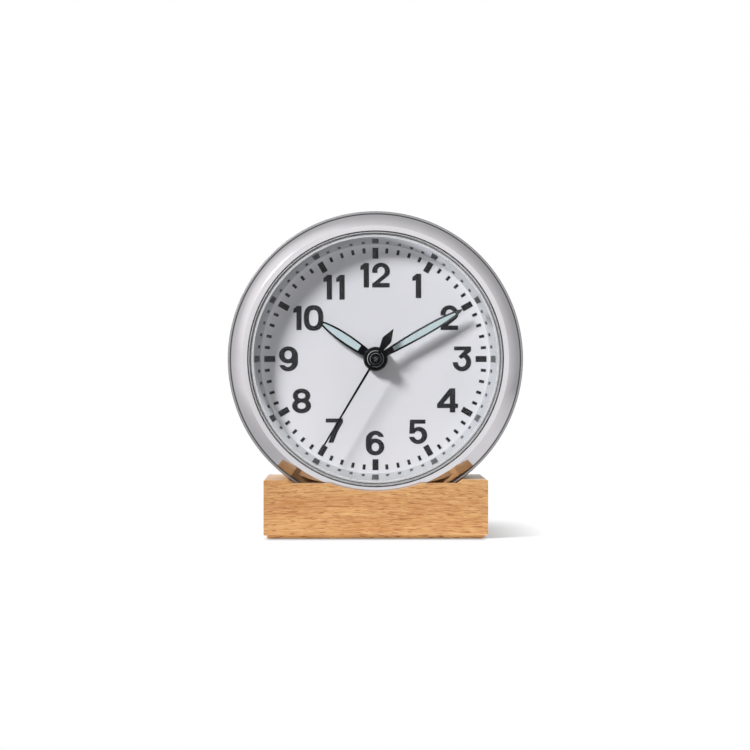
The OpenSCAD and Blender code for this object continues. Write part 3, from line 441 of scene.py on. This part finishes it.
def glass():
    """Clear glass that lamps shine through, with the faintest wipe marks in its polish."""
    pane = Surface("glass", IOR=1.14, Transmission_Weight=1.0, Base_Color=WHITE)
    wipe = pane.noise(30, detail=4.0, rough=0.6)
    pane.drive("Roughness", pane.span(wipe, MOST, (0.0, 0.006)))
    path = pane.node("ShaderNodeLightPath").outputs
    passes = pane.math("MAXIMUM", path["Is Shadow Ray"], path["Is Diffuse Ray"])
    whole = pane.blend(passes, pane.shader.outputs[0], pane.transparent())
    pane.feed(pane.output.inputs["Surface"], whole)
    return pane.material


def grained(name, low, high, rough, grain=900.0, depth=0.02 * MM, **values):
    """A moulded or painted surface: two close tones, a fine skin texture and uneven gloss."""
    skin = Surface(name, **values)
    speck = skin.noise(grain, detail=3.0, rough=0.6)
    cloud = skin.noise(45, detail=3.0)
    tone = skin.weigh((speck, 0.35), (cloud, 0.65))
    skin.drive("Base Color", skin.tones(tone, MIDDLE, low, high))
    skin.drive("Roughness", skin.span(tone, MIDDLE, rough))
    skin.bump(speck, depth, strength=0.5)
    return skin.material


def dial_paint():
    """Pale satin dial: a very faint cloudiness and fine spray texture."""
    paint = Surface("dial")
    cloud = paint.noise(22, rough=0.4)
    spray = paint.noise(4200)
    tone = paint.weigh((cloud, 0.85), (spray, 0.15))
    paint.drive("Base Color", paint.tones(tone, MIDDLE, srgb(215, 216, 222), srgb(221, 221, 227)))
    paint.drive("Roughness", paint.span(spray, MOST, (0.46, 0.56)))
    paint.bump(spray, depth=0.004 * MM, strength=0.3)
    return paint.material


def hand_black():
    """Gloss black lacquer on the hands, with a painted highlight in grey round the edges of the two
    upper hubs.
    """
    gloss = Surface("hand_black")
    speck = gloss.noise(3000, detail=3.0, rough=0.6)
    cloud = gloss.noise(60, detail=3.0)
    tone = gloss.weigh((speck, 0.3), (cloud, 0.7))
    lacquer = gloss.tones(tone, MIDDLE, srgb(12, 13, 16), srgb(18, 19, 23))
    reach, _, _ = polar(gloss)
    rounded = gloss.span(gloss.split(gloss.facing())["Y"], HUB_FACING)
    # Painted highlight: a grey on the hubs' rounded edges, in place of the light they catch
    painted_gleam = gloss.times(rounded, gloss.within(reach, *HUB_GLEAM_RADII))
    gloss.drive("Base Color", gloss.mix(painted_gleam, lacquer, HUB_PAINTED_GLEAM))
    shine = gloss.span(tone, MIDDLE, (0.025, 0.05))
    gloss.drive("Roughness", gloss.add(shine, gloss.times(painted_gleam, HUB_DULL)))
    gloss.bump(speck, depth=0.0005 * MM, strength=0.5)
    return gloss.material


def lume_paint():
    """Pale blue-green luminous filling, slightly granular."""
    paint = Surface("lume")
    grain = paint.noise(2600, detail=3.0, rough=0.6)
    cloud = paint.noise(260)
    tone = paint.weigh((grain, 0.5), (cloud, 0.5))
    paint.drive("Base Color", paint.tones(tone, MIDDLE, srgb(184, 203, 208), srgb(197, 214, 219)))
    paint.drive("Roughness", paint.span(grain, MOST, (0.55, 0.7)))
    paint.bump(grain, depth=0.012 * MM, strength=0.5)
    return paint.material


def scratched(name, low, high, rough=(0.2, 0.4)):
    """Metal with fine crossed scratches and cloudy tarnish."""
    metal = Surface(name, Metallic=1.0)
    across = metal.noise(metal.place((3200, 90, 3200), turn=(0.3, 0.2, 0.5)), detail=3.0, rough=0.7)
    along = metal.noise(metal.place((90, 3000, 3000), turn=(0.1, 0.4, 0.2)), detail=3.0, rough=0.7)
    scratches = metal.add(across, along)
    cloud = metal.noise(120, detail=4.0, rough=0.6)
    tone = metal.weigh((cloud, 0.7), (scratches, 0.15))
    metal.drive("Base Color", metal.tones(tone, MIDDLE, low, high))
    metal.drive("Roughness", metal.span(tone, MIDDLE, rough))
    metal.bump(scratches, depth=0.006 * MM, strength=0.3)
    return metal.material


def winding():
    """Enamelled copper wire wound in close turns round the X axis."""
    wire = Surface("copper", Metallic=0.9)
    turns = wire.math("SINE", wire.times(wire.split(wire.place())["X"], 2 * math.pi / WIRE_PITCH))
    uneven = wire.noise((900, 500, 500), detail=3.0)
    tone = wire.add(wire.times(turns, 0.25), uneven)
    wire.drive("Base Color", wire.tones(tone, (0.2, 0.8), srgb(142, 66, 34), srgb(214, 122, 74)))
    wire.drive("Roughness", wire.span(uneven, MOST, (0.24, 0.4)))
    wire.bump(turns, depth=0.05 * MM, strength=0.6)
    return wire.material


def circuit():
    """Green solder mask over darker copper tracks."""
    board = Surface("board")
    edges = board.node("ShaderNodeTexVoronoi", {"Vector": board.place(320), "Scale": 1.0},
                       feature="DISTANCE_TO_EDGE").outputs["Distance"]
    line = board.span(edges, TRACK_EDGE)
    masked = board.mix(line, srgb(70, 140, 80), srgb(28, 88, 52))
    weave = board.noise(2500)
    woven = board.span(weave, (0.4, 0.7), (0.0, 0.3))
    board.drive("Base Color", board.mix(woven, masked, srgb(20, 66, 40)))
    board.drive("Roughness", board.span(weave, MOST, (0.3, 0.45)))
    board.bump(line, depth=0.02 * MM, strength=0.5)
    return board.material


def battery_wrap():
    """A plain shrink sleeve: charcoal body, a copper-coloured end towards the pole, bare steel tips."""
    wrap = Surface("cell")
    x = wrap.split(wrap.place())["X"]
    grain = wrap.noise((1500, 120, 120), detail=3.0)
    band = wrap.math("GREATER_THAN", x, CELL_BAND_X)
    body = wrap.tones(grain, MOST, srgb(34, 35, 38), srgb(46, 47, 51))
    end = wrap.tones(grain, MOST, srgb(184, 120, 72), srgb(204, 142, 92))
    tip = wrap.math("GREATER_THAN", wrap.math("ABSOLUTE", x), CELL_TIP_X)
    wrap.drive("Base Color", wrap.mix(tip, wrap.mix(band, body, end), srgb(196, 196, 196)))
    wrap.drive("Metallic", wrap.math("MAXIMUM", tip, wrap.times(band, BAND_METAL)))
    wrap.drive("Roughness", wrap.span(grain, MOST, (0.24, 0.36)))
    wrap.bump(grain, depth=0.01 * MM, strength=0.3)
    return wrap.material


def materials():
    """One finished material for each slot that the record names, and two for nodes of their own."""
    return {
        "oak": oak("oak", srgb(175, 117, 63), srgb(212, 166, 110)),
        # A lighter copy of the oak for the plinth: painted light where the block shades it
        "oak_plinth_painted_light": oak("oak_plinth_painted_light", srgb(246, 176, 98), srgb(255, 208, 134)),
        "steel": brushed_steel(),
        "polished_steel": polished_steel(),
        "ring_steel": ring_steel(),
        "glass": glass(),
        "gasket": grained("gasket", srgb(150, 151, 154), srgb(172, 173, 176), (0.5, 0.7)),
        "dial": dial_paint(),
        "ink": grained("ink", srgb(29, 29, 33), srgb(38, 38, 42), (0.42, 0.58),
                       grain=2600.0, depth=0.004 * MM, Specular_IOR_Level=0.15),
        "hand_black": hand_black(),
        "lume": lume_paint(),
        "carrier": grained("carrier", srgb(206, 206, 202), srgb(222, 222, 218), (0.45, 0.6)),
        "cover": grained("cover", srgb(38, 39, 42), srgb(50, 51, 54), (0.45, 0.62),
                         grain=1600.0, depth=0.05 * MM),
        "movement": grained("movement", srgb(30, 31, 33), srgb(42, 43, 46), (0.4, 0.55), grain=1300.0),
        "wheel": grained("wheel", srgb(222, 218, 204), srgb(236, 233, 222), (0.35, 0.5)),
        "brass": scratched("brass", srgb(188, 150, 82), srgb(222, 188, 118)),
        "cell": battery_wrap(),
        "board": circuit(),
        "copper": winding(),
        "iron": scratched("iron", srgb(122, 122, 124), srgb(158, 158, 160), (0.32, 0.5)),
        "screw": scratched("screw", srgb(164, 164, 166), srgb(204, 204, 206), (0.22, 0.36)),
    }


# Nodes whose finish isn't the one of their slot. The plinth's is a lighter oak: painted light in the
# block's shade
OWN_FINISH = {"dial_ring": "ring_steel", "base_plinth": "oak_plinth_painted_light"}


def dress(nodes, finish):
    """Gives every solid of the frame the finished material of its slot."""
    for name, node in nodes.items():
        slot = node.material_slots[0]
        own = slot.material.name.split(".")[0]
        slot.material = finish[OWN_FINISH.get(name, own)]


# Numerals. A shape is a field over the plane in numeral heights, below zero inside it

def ellipse(x, y, wide, high):
    return lambda u, v: (np.hypot((u - x) / wide, (v - y) / high) - 1) * min(wide, high)


def squircle(x, y, wide, high, power=2.5):
    """Between an ellipse and a box, and nearer the box with a higher power."""
    def field(u, v):
        total = np.abs((u - x) / wide) ** power + np.abs((v - y) / high) ** power
        return (total ** (1 / power) - 1) * min(wide, high)
    return field


def convex(*corners):
    """Inside of a convex outline given anticlockwise."""
    def field(u, v):
        sides = []
        for (ax, ay), (bx, by) in zip(corners, corners[1:] + corners[:1]):
            length = math.hypot(bx - ax, by - ay)
            sides.append(((u - ax) * (by - ay) - (v - ay) * (bx - ax)) / length)
        return np.maximum.reduce(sides)
    return field


def box(left, low, right, high):
    return convex((left, low), (right, low), (right, high), (left, high))


def union(*parts):
    return lambda u, v: np.minimum.reduce([part(u, v) for part in parts])


def both(*parts):
    return lambda u, v: np.maximum.reduce([part(u, v) for part in parts])


def less(part, *cuts):
    return lambda u, v: np.maximum.reduce([part(u, v)] + [-cut(u, v) for cut in cuts])


def moved(part, right):
    return lambda u, v: part(u - right, v)


def turned(part, width):
    """The shape turned half round in a box one numeral high."""
    return lambda u, v: part(width - u, 1 - v)


def one():
    flag = convex((0, 0.693), (0.13, 0.734), (0.2, 0.75), (0.2, 1), (0.18, 1), (0, 0.872))
    return union(flag, box(0.13, 0, 0.341, 1))


def two():
    ring = less(ellipse(0.353, 0.668, 0.353, 0.341), ellipse(0.353, 0.668, 0.148, 0.169))
    left = both(ring, box(FAR_LOW, 0.593, 0.353, FAR_HIGH))
    right = both(ring, convex((0.353, 0.593), (0.469, 0.549), (0.647, 0.481),
                              (FAR_HIGH, 0.481), (FAR_HIGH, FAR_HIGH), (0.353, FAR_HIGH)))
    slope = convex((0, 0), (0.29, 0.184), (0.647, 0.481), (0.469, 0.549), (0, 0.139))
    return union(left, right, slope, box(0, 0, 0.697, 0.184))


def three():
    slope = convex((0.233, 0.592), (0.346, 0.4875), (0.546, 0.646),
                   (0.742, 0.8125), (0.742, 1), (0.479, 0.842))
    bar = box(0.054, 0.842, 0.742, 1)
    ring = less(ellipse(0.375, 0.367, 0.375, 0.375), ellipse(0.375, 0.367, 0.166, 0.19))
    open_low = box(FAR_LOW, 0.3625, 0.346, 0.6)
    open_high = convex((FAR_LOW, 0.55), (0.2, 0.55), (0.479, 0.842), (FAR_LOW, 0.842))
    return union(bar, slope, less(ring, union(open_low, open_high)))


def four():
    body = convex((0, 0.185), (0.733, 0.185), (0.733, 1), (0.506, 1), (0, 0.35))
    hole = convex((0.259, 0.37), (0.514, 0.37), (0.514, 0.671))
    return union(less(body, hole), box(0, 0.185, 0.84, 0.37), box(0.514, 0, 0.733, 1))


def five():
    stem = convex((0.018, 0.4175), (0.226, 0.4175), (0.236, 1), (0.047, 1))
    upper = both(ellipse(0.424, 0.344, 0.339, 0.359), box(0.19, 0.344, FAR_HIGH, FAR_HIGH))
    lower = both(ellipse(0.3836, 0.344, 0.38, 0.36), box(FAR_LOW, FAR_LOW, FAR_HIGH, 0.344))
    gap = box(FAR_LOW, 0.2856, 0.38, 0.4175)
    bowl = less(union(upper, lower), ellipse(0.38, 0.342, 0.16, 0.184), gap)
    return union(stem, box(0.047, 0.832, 0.69, 1), bowl)


def six():
    arc_left = both(ellipse(0.4, 0.662, 0.4, 0.382), box(FAR_LOW, 0.6, 0.4, FAR_HIGH))
    arc_right = both(ellipse(0.4, 0.662, 0.349, 0.382), box(0.39, 0.779, FAR_HIGH, FAR_HIGH))
    arc = less(union(arc_left, arc_right), ellipse(0.398, 0.624, 0.17, 0.24))
    side = box(0, 0.355, 0.2168, 0.662)
    eye = ellipse(0.386, 0.352, 0.149, 0.179)
    return union(arc, less(side, eye), less(ellipse(0.377, 0.355, 0.372, 0.358), eye))


def seven():
    foot = convex((0.103, 0), (0.32, 0), (0.49, 0.433), (0.273, 0.433))
    leg = convex((0.273, 0.433), (0.49, 0.433), (0.721, 0.849), (0.721, 0.9), (0.456, 0.9))
    return union(foot, leg, box(0, 0.833, 0.72, 1))


def eight():
    outer = union(ellipse(0.382, 0.743, 0.351, 0.304), ellipse(0.382, 0.32, 0.379, 0.32))
    return less(outer, ellipse(0.382, 0.743, 0.15, 0.119), ellipse(0.382, 0.32, 0.163, 0.135))


def zero():
    return less(squircle(0.405, 0.5, 0.405, 0.528), squircle(0.405, 0.5, 0.19, 0.33))


def numeral_shapes():
    return {
        1: one(), 2: two(), 3: three(), 4: four(), 5: five(), 6: six(), 7: seven(), 8: eight(),
        9: turned(six(), NINE_WIDE),
        10: union(one(), moved(zero(), TEN_STEP)),
        11: union(one(), moved(one(), ELEVEN_STEP)),
        12: union(one(), moved(two(), TWELVE_STEP)),
    }


def crossing(first, second, start, end):
    """Where the field crosses zero between two places, from its values there."""
    share = first / (first - second)
    return (start[0] + share * (end[0] - start[0]), start[1] + share * (end[1] - start[1]))


def filled(field):
    """The inside of a shape as small faces cut along its outline. Gives their points and the faces."""
    us, vs = np.arange(*GLYPH_WIDE, GLYPH_CELL), np.arange(*GLYPH_HIGH, GLYPH_CELL)
    values = field(*np.meshgrid(us, vs, indexing="ij"))
    points, index, faces = [], {}, []

    def point(key, place):
        if key not in index:
            index[key] = len(points)
            points.append(place)
        return index[key]

    live = np.minimum.reduce([values[:-1, :-1], values[1:, :-1], values[1:, 1:], values[:-1, 1:]]) < 0
    for i, j in zip(*np.nonzero(live)):
        ring = ((i, j), (i + 1, j), (i + 1, j + 1), (i, j + 1))
        face = []
        for a, b in zip(ring, ring[1:] + ring[:1]):
            at_a, at_b = (us[a[0]], vs[a[1]]), (us[b[0]], vs[b[1]])
            if values[a] < 0:
                face.append(point(a, at_a))
            if (values[a] < 0) != (values[b] < 0):
                edge = (min(a, b), max(a, b))
                face.append(point(edge, crossing(values[a], values[b], at_a, at_b)))
        if len(face) > 2:
            faces.append(face)
    return np.array(points), faces


def thicken(mesh, thick):
    """Joins a flat mesh's small faces and pulls it out towards the front."""
    work = bmesh.new()
    work.from_mesh(mesh)
    bmesh.ops.dissolve_limit(work, angle_limit=NEARLY_FLAT, verts=work.verts, edges=work.edges)
    flat = bmesh.ops.extrude_face_region(work, geom=list(work.faces))
    raised = [part for part in flat["geom"] if isinstance(part, bmesh.types.BMVert)]
    bmesh.ops.translate(work, verts=raised, vec=(0, -thick, 0))
    bmesh.ops.recalc_face_normals(work, faces=work.faces)
    work.to_mesh(mesh)
    work.free()


def numeral(hour, field, ink):
    """One printed numeral, fitted to its place on the dial and a hair proud of it."""
    points, faces = filled(field)
    low, high = points.min(axis=0), points.max(axis=0)
    left, bottom, right, top = NUMERAL_BOXES[hour]
    spread = (points - low) / (high - low)
    xs = (left + spread[:, 0] * (right - left)) * MM
    zs = DIAL_Z + (bottom + spread[:, 1] * (top - bottom)) * MM
    mesh = bpy.data.meshes.new("numeral_%d" % hour)
    mesh.from_pydata([(x, DIAL_Y + INK_SUNK, z) for x, z in zip(xs, zs)], [], faces)
    thicken(mesh, INK_THICK + INK_SUNK)
    mesh.materials.append(ink)
    piece = placed("numeral_%d" % hour, mesh)
    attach(piece, "case")


# Studio

def room_world():
    """Plain soft light. The camera sees white, and polished metal a white room with greyer sides."""
    world = bpy.data.worlds.new("studio")
    bpy.context.scene.world = world
    world.use_nodes = True
    room = Nodes(world.node_tree)
    room.tree.nodes.clear()
    path = room.node("ShaderNodeLightPath").outputs
    unmirrored = room.math("LESS_THAN", path["Glossy Depth"], 0.5)  # the depth is a whole number
    through = room.times(path["Is Transmission Ray"], unmirrored)
    seen = room.add(through, path["Is Camera Ray"])
    mirrored = background(room, room_tones(room), ROOM_LEVEL)
    lit = room.blend(path["Is Glossy Ray"], background(room, WHITE, FILL), mirrored)
    whole = room.blend(seen, lit, background(room, WHITE, 1.0))
    room.node("ShaderNodeOutputWorld", {"Surface": whole})


def background(room, colour, strength):
    return room.node("ShaderNodeBackground", {"Color": colour, "Strength": strength}).outputs[0]


def room_tones(room):
    """What polished metal sees of the room: tones from front to back, and the soft panels."""
    direction = room.node("ShaderNodeTexCoord").outputs["Generated"]
    sideways, back, _ = room.split(direction)
    share = room.span(back, (-1.0, 1.0))
    tilt = room.add(room.times(sideways, ROOM_TILT), 1.0)
    opening = room.span(share, CAMERA_EDGE, (CAMERA_TONE, 1.0))
    tones = room.ramp(share, [(place, grey(tone)) for place, tone in ROOM_TONES])
    colour = room.node("ShaderNodeVectorMath", {0: tones, "Scale": room.times(tilt, opening)},
                       operation="SCALE").outputs[0]
    for toward, edge, level in PANELS:
        colour = with_panel(room, direction, colour, toward, edge, level)
    return colour


def with_panel(room, direction, colour, toward, edge, level):
    """Adds one soft panel to the tones of the room."""
    facing = room.node("ShaderNodeVectorMath", {0: direction, 1: toward}, operation="DOT_PRODUCT")
    share = room.span(facing.outputs["Value"], edge, kind="SMOOTHSTEP")
    return room.node("ShaderNodeMix", {0: share, 6: colour, 7: grey(level)},
                     data_type="RGBA", blend_type="ADD").outputs[2]


def floor():
    """A pale floor, white where nothing shades it, with the clock's shadow close round the block."""
    mesh = bpy.data.meshes.new("floor")
    corners = [(x * FLOOR_REACH, y * FLOOR_REACH, 0) for x, y in ((-1, -1), (1, -1), (1, 1), (-1, 1))]
    mesh.from_pydata(corners, [], [(0, 1, 2, 3)])
    mesh.materials.append(floor_paint())
    piece = placed("floor", mesh)


def floor_paint():
    """Paint that the camera and mirrors see white with the clock's shadow, and matt things grey."""
    paint = Surface("floor")
    path = paint.node("ShaderNodeLightPath").outputs
    seen = paint.math("ADD", paint.add(path["Is Camera Ray"], path["Is Glossy Ray"]),
                      path["Is Transmission Ray"], clamp=True)
    x, y, _ = paint.split(paint.place())
    ahead = outside(paint, y, BLOCK_HALF[1])
    away = paint.length(outside(paint, x, BLOCK_HALF[0]), paint.times(ahead, SHADE_STRETCH))
    near = floor_near(paint, seen, contact_shade(paint, x, ahead), away)
    slant = paint.times(path["Is Glossy Ray"],
                        paint.span(x, (-FLOOR_SLANT_HALF, FLOOR_SLANT_HALF), FLOOR_SLANT))
    white = paint.glow(paint.add(slant, FLOOR_WHITE))
    far = paint.times(seen, paint.span(away, (0.0, SHADE_REACH)))
    fade = paint.span(paint.length(x, y), (FLOOR_REACH * FLOOR_FADE, FLOOR_REACH))
    painted = paint.blend(fade, paint.blend(far, near, white), paint.transparent())
    paint.feed(paint.output.inputs["Surface"], painted)
    paint.tree.nodes.remove(paint.shader)
    return paint.material


def outside(paint, place, half):
    """How far a place on the floor lies beyond half the block's size."""
    return paint.math("MAXIMUM", paint.minus(paint.math("ABSOLUTE", place), half), 0.0)


def contact_shade(paint, x, ahead):
    """The painted contact shadow along the block's foot: CONTACT_TONE at the foot, and 1 clear of it."""
    beside = paint.times(outside(paint, x, CONTACT_HALF), CONTACT_PINCH)
    return paint.span(paint.length(beside, ahead), (0.0, CONTACT_REACH), (CONTACT_TONE, 1.0))


def floor_near(paint, seen, contact, away):
    """The floor round the block: a matt grey, and where it is seen also a glow that lifts it."""
    bounce = paint.times(paint.minus(1.0, seen), paint.span(away, FLOOR_NEAR, FLOOR_BOUNCE))
    tone = paint.add(bounce, paint.times(seen, contact, FLOOR_ALBEDO))
    matt = paint.node("ShaderNodeBsdfDiffuse", {"Color": tone}).outputs[0]
    glow = paint.glow(paint.times(contact, FLOOR_GLOW))
    lifted = paint.node("ShaderNodeAddShader", {0: matt, 1: glow}).outputs[0]
    return paint.blend(seen, matt, lifted)


def lamp(name, direction, strength, spread):
    """A far soft lamp that lights, but isn't seen in reflections: the room's panels show there."""
    light = bpy.data.lights.new(name, "SUN")
    light.energy, light.angle = strength, spread
    piece = placed(name, light)
    piece.rotation_euler = (-direction).to_track_quat("-Z", "Y").to_euler()
    piece.visible_glossy = False
    piece.visible_transmission = False


def camera():
    lens = bpy.data.cameras.new("camera")
    lens.lens = CAMERA_LENS
    lens.sensor_width = SENSOR
    piece = placed("camera", lens)
    piece.location = CAMERA_PLACE
    piece.rotation_euler = (math.pi / 2, 0, CAMERA_TURN)
    bpy.context.scene.camera = piece


# Build


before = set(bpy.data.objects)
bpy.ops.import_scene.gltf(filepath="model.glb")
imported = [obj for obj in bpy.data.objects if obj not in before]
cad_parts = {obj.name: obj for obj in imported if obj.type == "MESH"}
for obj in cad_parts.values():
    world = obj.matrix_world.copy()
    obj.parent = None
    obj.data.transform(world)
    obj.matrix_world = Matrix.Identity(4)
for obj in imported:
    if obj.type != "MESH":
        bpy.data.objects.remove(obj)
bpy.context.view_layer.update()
camera()
finish = materials()
dress(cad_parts, finish)
for hour, shape in numeral_shapes().items():
    numeral(hour, shape, finish["ink"])
room_world()
floor()
lamp("key", KEY_FROM, KEY_STRENGTH, KEY_SPREAD)
lamp("front", FRONT_FROM, FRONT_STRENGTH, FRONT_SPREAD)
bpy.context.scene.view_settings.view_transform = "Standard"
